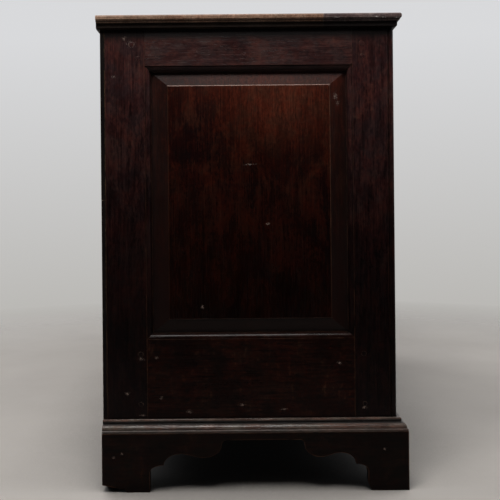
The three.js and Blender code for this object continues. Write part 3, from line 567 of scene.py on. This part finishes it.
PEG = {
    **STAINED,
    "bare": False,
    "painted_shade_bands": [],
    "edge_wear": 0.9,
    "edge_radius": 0.0008,
    "worn": srgb(120, 98, 84),
    "dents": 0.2,
    "fleck": 0.0,
}
BACK = {**DRY, "end_stain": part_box("back_board_upper")[1].x - 1 * MM, "specular": 0.06}


def metal(name, colour, tarnish, rough):
    """Brass or iron with tarnish in its hollows and a rubbed shine on its edges."""
    tree = Finish(name)
    plain = tree.place()
    dull = tree.most(tree.band(tree.noise(plain, 70, 4), 0.45, 0.65), tree.nooks(0.006))
    dull = tree.math("SUBTRACT", dull, tree.edges(0.0012), clamp=True)
    fine = tree.noise(plain, 900, 2)
    tree.shade(
        colour=tree.mix(dull, colour, tarnish),
        rough=tree.total((tree.band(dull, 0.0, 1.0, rough, rough + 0.25), 1.0), (fine, 0.08)),
        normal=tree.bump(fine, 0.0002, 0.25),
        metal=1.0,
    )
    return tree.material


# Which oak, which way its grain runs and how light it is, by the start of a node's name
OAK_PIECES = [
    ("front_post", STAINED, "z", 1.0),
    ("back_post", STAINED, "z", 1.0),
    ("end_top_rail", RAIL, "y", 1.0),
    ("end_bottom_rail", DARK, "y", 1.0),
    ("end_panel", PANEL, "z", 1.0),
    ("front_panel", PANEL, "z", 1.0),
    ("front_top_rail", RAIL, "x", 1.0),
    ("front_well_rail", STAINED, "x", 1.1),
    ("front_drawer_rail", DARK, "x", 1.2),
    ("front_muntin", STAINED, "z", 1.0),
    ("drawer_divider", DARK, "z", 1.4),
    ("drawer_front", STAINED, "x", 1.5),
    ("base_moulding_front", MOULD, "x", 1.0),
    ("base_moulding", MOULD, "y", 1.0),
    ("plinth_front", PLINTH, "x", 1.0),
    ("plinth", PLINTH, "y", 1.0),
    ("rear_bracket", PLINTH, "x", 1.0),
    ("lid_board_front", LID_FRONT, "x", 1.0),
    ("lid_board", LID, "x", 1.0),
    ("back_board", BACK, "x", 0.8),
    ("back_top", DRY, "x", 0.8),
    ("well_floor", DRY, "x", 1.0),
    ("runner", DRY, "y", 0.9),
    ("drawer_side", DRY, "y", 1.05),
    ("drawer_back", DRY, "x", 1.0),
    ("drawer_bottom", DRY, "x", 1.0),
]
IRON_PIECES = ("hinge", "lid_lock", "lid_staple")
BRASS_PIECES = ("handle_plate", "bail")
LEFT_END = ("front_post_left", "back_post_left", "end_top_rail_left", "end_bottom_rail_left",
            "end_panel_left", "plinth_left", "lid_board_front")


# Where the trim sits, in metres
END_PEGS = [(0.2137, 0.7995), (0.2015, 0.774), (0.2015, 0.242), (0.2015, 0.152),
            (-0.2005, 0.798), (-0.2015, 0.775), (-0.2, 0.24), (-0.201, 0.15)]
FRONT_PEGS = [(0.641, 0.803), (0.6415, 0.776), (0.641, 0.339), (0.6405, 0.313), (0.641, 0.139),
              (0.219, 0.7705), (0.2185, 0.336)]
BACK_NAILS = [(0.657, 0.806), (0.658, 0.715), (0.656, 0.63), (0.657, 0.545), (0.52, 0.799), (0.3, 0.797),
              (0.1, 0.798), (0.656, 0.495), (0.658, 0.4), (0.657, 0.3), (0.656, 0.2), (0.657, 0.12),
              (0.5, 0.313), (0.27, 0.3135), (0.06, 0.3125), (0.655, 0.07), (0.655, 0.035)]
HINGE_SCREWS = [(-27 * MM, 0.2465), (0, 0.2535), (27 * MM, 0.2465)]
STAPLE_SCREW_X = 25 * MM
STAPLE_SCREW_INSET = 11 * MM
LID_LOCK_SCREW_X = 36 * MM
LID_LOCK_SCREW_Z = (0.786, 0.817)
LID_KEYHOLE_Z = 0.797
DRAWER_KEYHOLE_Z = 0.264
DRAWER_LOCK_Z = 0.268
HANDLE_POST_X = 42 * MM
HANDLE_POST_Z = 0.224


def give(piece, material):
    piece.data.materials.clear()
    piece.data.materials.append(material)


def dress_frame(brass, iron):
    """Gives every CAD piece its material and eases its sharp edges."""
    for name, piece in NODES.items():
        if name.startswith(IRON_PIECES):
            give(piece, iron)
        elif name.startswith(BRASS_PIECES):
            give(piece, brass)
        else:
            style, grain, tone = next(row[1:] for row in OAK_PIECES if name.startswith(row[0]))
            field = field_of(piece) if "panel" in name else None
            low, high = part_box(name)
            near = [
                spot for spot in BRUISES_AND_GLINTS
                if low.y - 0.01 < spot[0] < high.y + 0.01 and low.z - 0.01 < spot[1] < high.z + 0.01
            ]
            spots = near if name in LEFT_END else ()
            give(piece, wood(f"oak_{name}", grain, tone, style, field, spots))
        weld = piece.modifiers.new("weld", "WELD")
        weld.merge_threshold = 0.02 * MM
        bevel = piece.modifiers.new("bevel", "BEVEL")
        bevel.width = (0.3 if name.startswith(IRON_PIECES + BRASS_PIECES) else 0.8) * MM
        bevel.segments = 2
        bevel.limit_method = "ANGLE"
        bevel.angle_limit = math.radians(40)
        bevel.harden_normals = True


# Small trim, modelled about its own axis with z outward, and then put in place

def facing(place, outward, turn=0.0):
    """Puts z of a piece along an outward direction at a place, turned about it."""
    aim = Vector(outward).to_track_quat("Z", "Y").to_matrix().to_4x4()
    return Matrix.Translation(place) @ aim @ Matrix.Rotation(turn, 4, "Z")


def ring_of(bm, points):
    return [bm.verts.new(point) for point in points]


def join_rings(bm, first, second):
    return [
        bm.faces.new((first[i], first[(i + 1) % len(first)], second[(i + 1) % len(first)], second[i]))
        for i in range(len(first))
    ]


def turned(bm, profile, sides, draw=None, wobble=0.0, at=(0, 0)):
    """A round piece from (radius, height) pairs, closed at both ends. Wobble makes it hand made."""
    spread = [1 + (draw.uniform(-wobble, wobble) if draw else 0) for _ in range(sides)]
    rings = []
    for radius, height in profile:
        corners = []
        for i in range(sides):
            angle = math.tau * (i + 0.5) / sides
            reach = radius * spread[i]
            corners.append((at[0] + reach * math.cos(angle), at[1] + reach * math.sin(angle), height))
        rings.append(ring_of(bm, corners))
    for low, high in zip(rings, rings[1:]):
        join_rings(bm, low, high)
    bm.faces.new(rings[0][::-1])
    bm.faces.new(rings[-1])


def slab(bm, layers):
    """A flat piece from (outline, height) layers with equal point counts."""
    rings = [ring_of(bm, [(x, y, height) for x, y in outline]) for outline, height in layers]
    faces = [face for low, high in zip(rings, rings[1:]) for face in join_rings(bm, low, high)]
    return faces + [bm.faces.new(rings[0][::-1]), bm.faces.new(rings[-1])]


def pierced(bm, outline, inset, hole, low, high):
    """A plate with a softened outer edge and a hole through it."""
    skirt = [(x * inset, y * inset) for x, y in outline]
    foot, brow = (ring_of(bm, [(x, y, z) for x, y in outline]) for z in (low, (low + high) / 2))
    top = ring_of(bm, [(x, y, high) for x, y in skirt])
    hole_low, hole_high = (ring_of(bm, [(x, y, z) for x, y in hole]) for z in (low, high))
    join_rings(bm, foot, brow)
    join_rings(bm, brow, top)
    join_rings(bm, hole_high, hole_low)
    for loops in ((foot, hole_low), (top, hole_high)):
        pairs = [(loop[i - 1], loop[i]) for loop in loops for i in range(len(loop))]
        bmesh.ops.triangle_fill(bm, edges=[bm.edges.get(pair) for pair in pairs], use_beauty=True)


def peg(bm, draw):
    """The end of an oak peg, driven nearly flush."""
    radius = draw.uniform(4.0, 4.7) * MM
    profile = [
        (radius, -4 * MM), (radius, 0.15 * MM), (radius * 0.82, 0.38 * MM), (radius * 0.4, 0.46 * MM),
    ]
    turned(bm, profile, 11, draw, 0.07)


def nail(bm, draw):
    """A forged nail with a low faceted rose head."""
    radius = draw.uniform(3.3, 4.2) * MM
    shank = 1.3 * MM
    profile = [
        (shank, -7 * MM), (shank, 0), (radius, 0), (radius * 0.86, 0.3 * MM), (radius * 0.2, 0.85 * MM),
    ]
    turned(bm, profile, 5, draw, 0.12)


def screw(bm, draw):
    """A countersunk screw with a slot filed across its head."""
    radius, slot, deep = 3.2 * MM, 0.55 * MM, 0.6 * MM
    start = math.asin(slot / radius)
    steps = 7
    for sign in (1, -1):
        arc = [start + (math.pi - 2 * start) * i / steps for i in range(steps + 1)]
        half = [(radius * math.cos(a), sign * radius * math.sin(a)) for a in arc]
        slab(bm, [(half[::sign], -deep), (half[::sign], 0.1 * MM)])
    turned(bm, [(1.2 * MM, -6 * MM), (radius, -deep - 0.3 * MM), (radius, -deep)], 14)


def round_screw(bm, draw):
    """A small domed screw."""
    turned(bm, [(1.4 * MM, -5 * MM), (2.6 * MM, 0), (2.3 * MM, 0.7 * MM), (1.1 * MM, 1.2 * MM)], 12)


def handle_nut(bm, draw):
    """The square nut of a handle post on its washer, with the bolt's end in it."""
    turned(bm, [(7.2 * MM, 0), (7.2 * MM, 0.6 * MM), (6.6 * MM, 0.8 * MM)], 20)
    turned(bm, [(5.6 * MM, 0.8 * MM), (5.6 * MM, 3 * MM), (4.9 * MM, 3.6 * MM)], 4, draw, 0.02)
    turned(bm, [(2.1 * MM, 3.6 * MM), (2.1 * MM, 4.6 * MM), (1.2 * MM, 5.1 * MM)], 12)


def keyhole(scale):
    """A round hole above a flared slot."""
    round_part = [math.radians(-55 + 290 * i / 14) for i in range(15)]
    points = [(2.3 * math.cos(a), 2.3 * math.sin(a) + 2) for a in round_part]
    points += [(-1.6, -6), (1.6, -6)]
    return [(x * scale * MM, y * scale * MM) for x, y in points]


def escutcheon(wide, high):
    """A brass keyhole plate of curved outline, with two pins, and a dark slab in its hole as painted
    shade.
    """
    def build(bm, draw):
        outline = []
        for i in range(64):
            angle = math.tau * i / 64
            reach = 1 + 0.13 * math.cos(4 * angle) - 0.05 * math.cos(8 * angle)
            outline.append((wide * reach * math.cos(angle), high * reach * math.sin(angle)))
        pierced(bm, outline, 0.94, keyhole(0.95), 0.02 * MM, 0.95 * MM)
        for side in (-1, 1):
            profile = [(0.9 * MM, 0.7 * MM), (1.1 * MM, 0.9 * MM), (0.7 * MM, 1.4 * MM)]
            turned(bm, profile, 10, at=(side * wide * 0.78, 0))
        # A dark slab in the keyhole's shape, as painted shade of the hole
        for face in slab(bm, [(keyhole(1.12), -0.8 * MM), (keyhole(1.12), 0.06 * MM)]):
            face.material_index = 1
    return build


def drawer_lock(bm, draw):
    """An iron lock case on its back plate, let into a drawer front, with screws in the plate and rivets
    on the case.
    """
    def clipped(x, y, corner):
        return [(x, y - corner), (x - corner, y), (corner - x, y), (-x, y - corner),
                (-x, corner - y), (corner - x, -y), (x - corner, -y), (x, corner - y)]
    sizes = ((33, 14, 2), (25, 12.5, 1.5), (24, 11.5, 1.5))
    plate, case, top = ([(x * MM, y * MM) for x, y in clipped(*size)] for size in sizes)
    plate_screw = [(2.2 * MM, 0.9 * MM), (1.9 * MM, 1.6 * MM), (0.8 * MM, 2 * MM)]
    case_rivet = [(1.6 * MM, 7.2 * MM), (1.4 * MM, 7.8 * MM), (0.6 * MM, 8.1 * MM)]
    slab(bm, [(plate, -1 * MM), (plate, 0.9 * MM)])
    slab(bm, [(case, 0.9 * MM), (case, 6.5 * MM), (top, 7.3 * MM)])
    for x in (-29, 29):
        for y in (-9, 9):
            turned(bm, plate_screw, 10, at=(x * MM, y * MM))
    for x in (-18, 18):
        turned(bm, case_rivet, 10, at=(x * MM, 0))


def add_piece(name, build, place, outward, body, materials, turn=0.0):
    draw = draw_of(name)
    bm = bmesh.new()
    build(bm, draw)
    bmesh.ops.recalc_face_normals(bm, faces=bm.faces)
    mesh = bpy.data.meshes.new(name)
    bm.to_mesh(mesh)
    bm.free()
    mesh.transform(facing(place, outward, turn))
    piece = bpy.data.objects.new(name, mesh)
    bpy.context.scene.collection.objects.link(piece)
    for material in materials:
        mesh.materials.append(material)
    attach(piece, body)


def add_pegs():
    end_peg, front_peg = wood("oak_peg_ends", "x", 1.0, PEG), wood("oak_peg_front", "y", 1.0, PEG)
    for side, sign in (("left", -1), ("right", 1)):
        for row, (y, z) in enumerate(END_PEGS):
            add_piece(f"peg_end_{side}_{row}", peg, (sign * END_FACE, y, z), (sign, 0, 0),
                      "carcase", [end_peg], row)
        for row, (x, z) in enumerate(FRONT_PEGS):
            add_piece(f"peg_front_{side}_{row}", peg, (sign * x, FRONT_FACE, z), (0, -1, 0),
                      "carcase", [front_peg], row)


def add_nails(iron):
    """Nails of the back boards and of the rear brackets."""
    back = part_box("back_board_upper")[1].y
    for row, (x, z) in enumerate(BACK_NAILS):
        for side, sign in (("left", -1), ("right", 1)):
            name = f"nail_back_{side}_{row}"
            draw = draw_of(name + "_place")
            place = (sign * x + draw.uniform(-3, 3) * MM, back, z + draw.uniform(-3, 3) * MM)
            add_piece(name, nail, place, (0, 1, 0), "carcase", [iron], draw.uniform(0, 3))


def add_screws(dark_iron):
    """Screws of the hinge leaves, of the staple plate and of the lid's lock."""
    leaves = (("lid", "lid", LID_FOOT, -1), ("back", "carcase", CARCASE_TOP, 1))
    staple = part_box("lid_staple")[0].y + STAPLE_SCREW_INSET
    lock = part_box("lid_lock")[1].y
    for side, sign in (("left", -1), ("right", 1)):
        low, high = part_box(f"hinge_lid_leaf_{side}")
        middle = (low.x + high.x) / 2
        for row, (along, y) in enumerate(HINGE_SCREWS):
            for leaf, body, z, outward in leaves:
                add_piece(f"screw_{leaf}_leaf_{side}_{row}", screw, (middle + along, y, z),
                          (0, 0, outward), body, [dark_iron], 0.9 * row + outward)
        add_piece(f"screw_staple_{side}", screw, (sign * STAPLE_SCREW_X, staple, LID_FOOT),
                  (0, 0, -1), "lid", [dark_iron], sign)
        for row, z in enumerate(LID_LOCK_SCREW_Z):
            add_piece(f"screw_lock_{side}_{row}", round_screw, (sign * LID_LOCK_SCREW_X, lock, z),
                      (0, 1, 0), "carcase", [dark_iron])


def add_locks(brass, iron, dark):
    """Keyhole plates, drawer locks and the nuts behind the handles."""
    add_piece("escutcheon_lid", escutcheon(12 * MM, 16 * MM), (0, FRONT_FACE, LID_KEYHOLE_Z),
              (0, -1, 0), "carcase", [brass, dark])
    for side in ("left", "right"):
        low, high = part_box(f"drawer_front_{side}")
        middle = (low.x + high.x) / 2
        body = f"drawer_{side}"
        add_piece(f"escutcheon_drawer_{side}", escutcheon(10.5 * MM, 14 * MM),
                  (middle, low.y, DRAWER_KEYHOLE_Z), (0, -1, 0), body, [brass, dark])
        add_piece(f"drawer_lock_{side}", drawer_lock, (middle, high.y, DRAWER_LOCK_Z), (0, 1, 0),
                  body, [iron])
        for plate in ("inner", "outer"):
            plate_low, plate_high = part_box(f"handle_plate_{plate}_{side}")
            for post, along in (("a", -HANDLE_POST_X), ("b", HANDLE_POST_X)):
                place = ((plate_low.x + plate_high.x) / 2 + along, high.y, HANDLE_POST_Z)
                turn = draw_of(f"{plate}{side}{post}").uniform(0, 1.5)
                add_piece(f"handle_nut_{plate}_{side}_{post}", handle_nut, place, (0, 1, 0),
                          body, [brass], turn)


# Stage

def make_camera():
    camera = bpy.data.objects.new("camera", bpy.data.cameras.new("camera"))
    bpy.context.scene.collection.objects.link(camera)
    camera.data.sensor_width = SENSOR_MM
    camera.data.lens = FOCAL_PIXELS / IMAGE_PIXELS * SENSOR_MM
    camera.data.shift_x = (IMAGE_PIXELS / 2 - VANISHING_X) / IMAGE_PIXELS
    camera.data.shift_y = (HORIZON_Y - IMAGE_PIXELS / 2) / IMAGE_PIXELS
    end_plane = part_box("back_post_left")[0].x
    view_right = Vector((0, -1, 0))
    view_up = Vector((0, 0, 1))
    right = view_right * math.cos(CAMERA_ROLL) - view_up * math.sin(CAMERA_ROLL)
    up = view_up * math.cos(CAMERA_ROLL) + view_right * math.sin(CAMERA_ROLL)
    turn = Matrix((right, up, right.cross(up))).transposed().to_4x4()
    place = Matrix.Translation((end_plane - CAMERA_DISTANCE, CAMERA_ASIDE, CAMERA_HEIGHT))
    camera.matrix_world = place @ turn
    bpy.context.scene.camera = camera


def area_light(name, place, target, size, power, colour=(1, 1, 1)):
    light = bpy.data.objects.new(name, bpy.data.lights.new(name, "AREA"))
    bpy.context.scene.collection.objects.link(light)
    light.data.shape = "RECTANGLE"
    light.data.size, light.data.size_y = size
    light.data.energy = power
    light.data.color = colour
    light.location = place
    light.rotation_euler = (Vector(target) - Vector(place)).to_track_quat("-Z", "Y").to_euler()


def make_lights():
    area_light("key", (-1.95, 0.4, 3.05), (-0.6, 0, 0.7), (1.7, 0.75), 118, (1, 0.985, 0.96))
    area_light("front_fill", (-0.5, -3.2, 2.3), (0, 0, 0.4), (2.4, 1.6), 95, (0.98, 0.99, 1))
    area_light("rear_fill", (2.6, 2.6, 2.5), (0.1, 0, 0.4), (2, 1.6), 90)
    area_light("overhead", (0.5, 0.3, 3.3), (0.2, 0, 0.5), (2.6, 2.6), 40)


def make_world():
    """Pale walls behind the chest, a darker room on the camera's side, and even light all round."""
    world = bpy.data.worlds.new("studio")
    bpy.context.scene.world = world
    tree = Tree(world)
    direction = tree.add("SeparateXYZ", {0: tree.add("TexCoord").outputs["Generated"]}).outputs
    wall = tree.mix(tree.band(direction[2], -0.12, 0.2), WALL_LOW, WALL_HIGH)
    room = tree.mix(tree.band(direction[2], 0.08, 0.85), ROOM_LOW, ROOM_HIGH)
    around = tree.mix(tree.band(direction[0], -0.15, 0.5), room, wall)
    path = tree.add("LightPath").outputs
    seen = tree.most(path["Is Camera Ray"], path["Is Transmission Ray"])
    colour = tree.mix(path["Is Glossy Ray"], AMBIENT, around)
    colour = tree.mix(seen, colour, wall)
    tree.set(tree.nodes["Background"].inputs["Color"], colour)


def make_floor():
    """A pale floor that fades into the wall away from the chest, with painted shade under and about the
    chest.
    """
    mesh = bpy.data.meshes.new("floor")
    half = FLOOR_SIZE / 2
    corners = [(-half, -half, 0), (half, -half, 0), (half, half, 0), (-half, half, 0)]
    mesh.from_pydata(corners, [], [(0, 1, 2, 3)])
    floor = bpy.data.objects.new("floor", mesh)
    bpy.context.scene.collection.objects.link(floor)
    tree = Finish("floor")
    mottle = tree.band(tree.noise(tree.place(), 3, 4), 0.3, 0.7, 0.94, 1.06)
    # Painted shade: the floor darkens under and about the chest, to near black beneath it
    openness = tree.add("AmbientOcclusion", {"Distance": 0.5}, samples=8).outputs["AO"]
    shade = tree.times(mottle, tree.band(openness, 0.22, 0.74, 0.002, 1.0))
    tree.shade(colour=tree.scaled(FLOOR_COLOUR, shade), rough=0.7, specular=0.2)
    reach = tree.add("VectorMath", {0: tree.own}, operation="LENGTH").outputs["Value"]
    fade = tree.band(reach, *FLOOR_FADE)
    clear = tree.add("BsdfTransparent").outputs[0]
    solid = tree.nodes["Principled BSDF"].outputs[0]
    blend = tree.add("MixShader", {0: fade, 1: solid, 2: clear}).outputs[0]
    tree.set(tree.nodes["Material Output"].inputs["Surface"], blend)
    give(floor, tree.material)


make_camera()
make_world()
make_lights()
make_floor()
brass = metal("brass", srgb(178, 146, 94), srgb(88, 66, 40), 0.3)
iron = metal("iron", srgb(96, 90, 86), srgb(50, 42, 38), 0.42)
dress_frame(brass, iron)
add_pegs()
add_nails(iron)
add_screws(metal("screw_iron", srgb(52, 46, 42), srgb(26, 21, 18), 0.45))
# keyhole_dark is the painted shade seen through the keyholes
add_locks(brass, iron, wood("keyhole_dark", "x", 0.3, {**DARK, "edge_wear": 0.0}))
bpy.context.scene.view_settings.view_transform = "Standard"
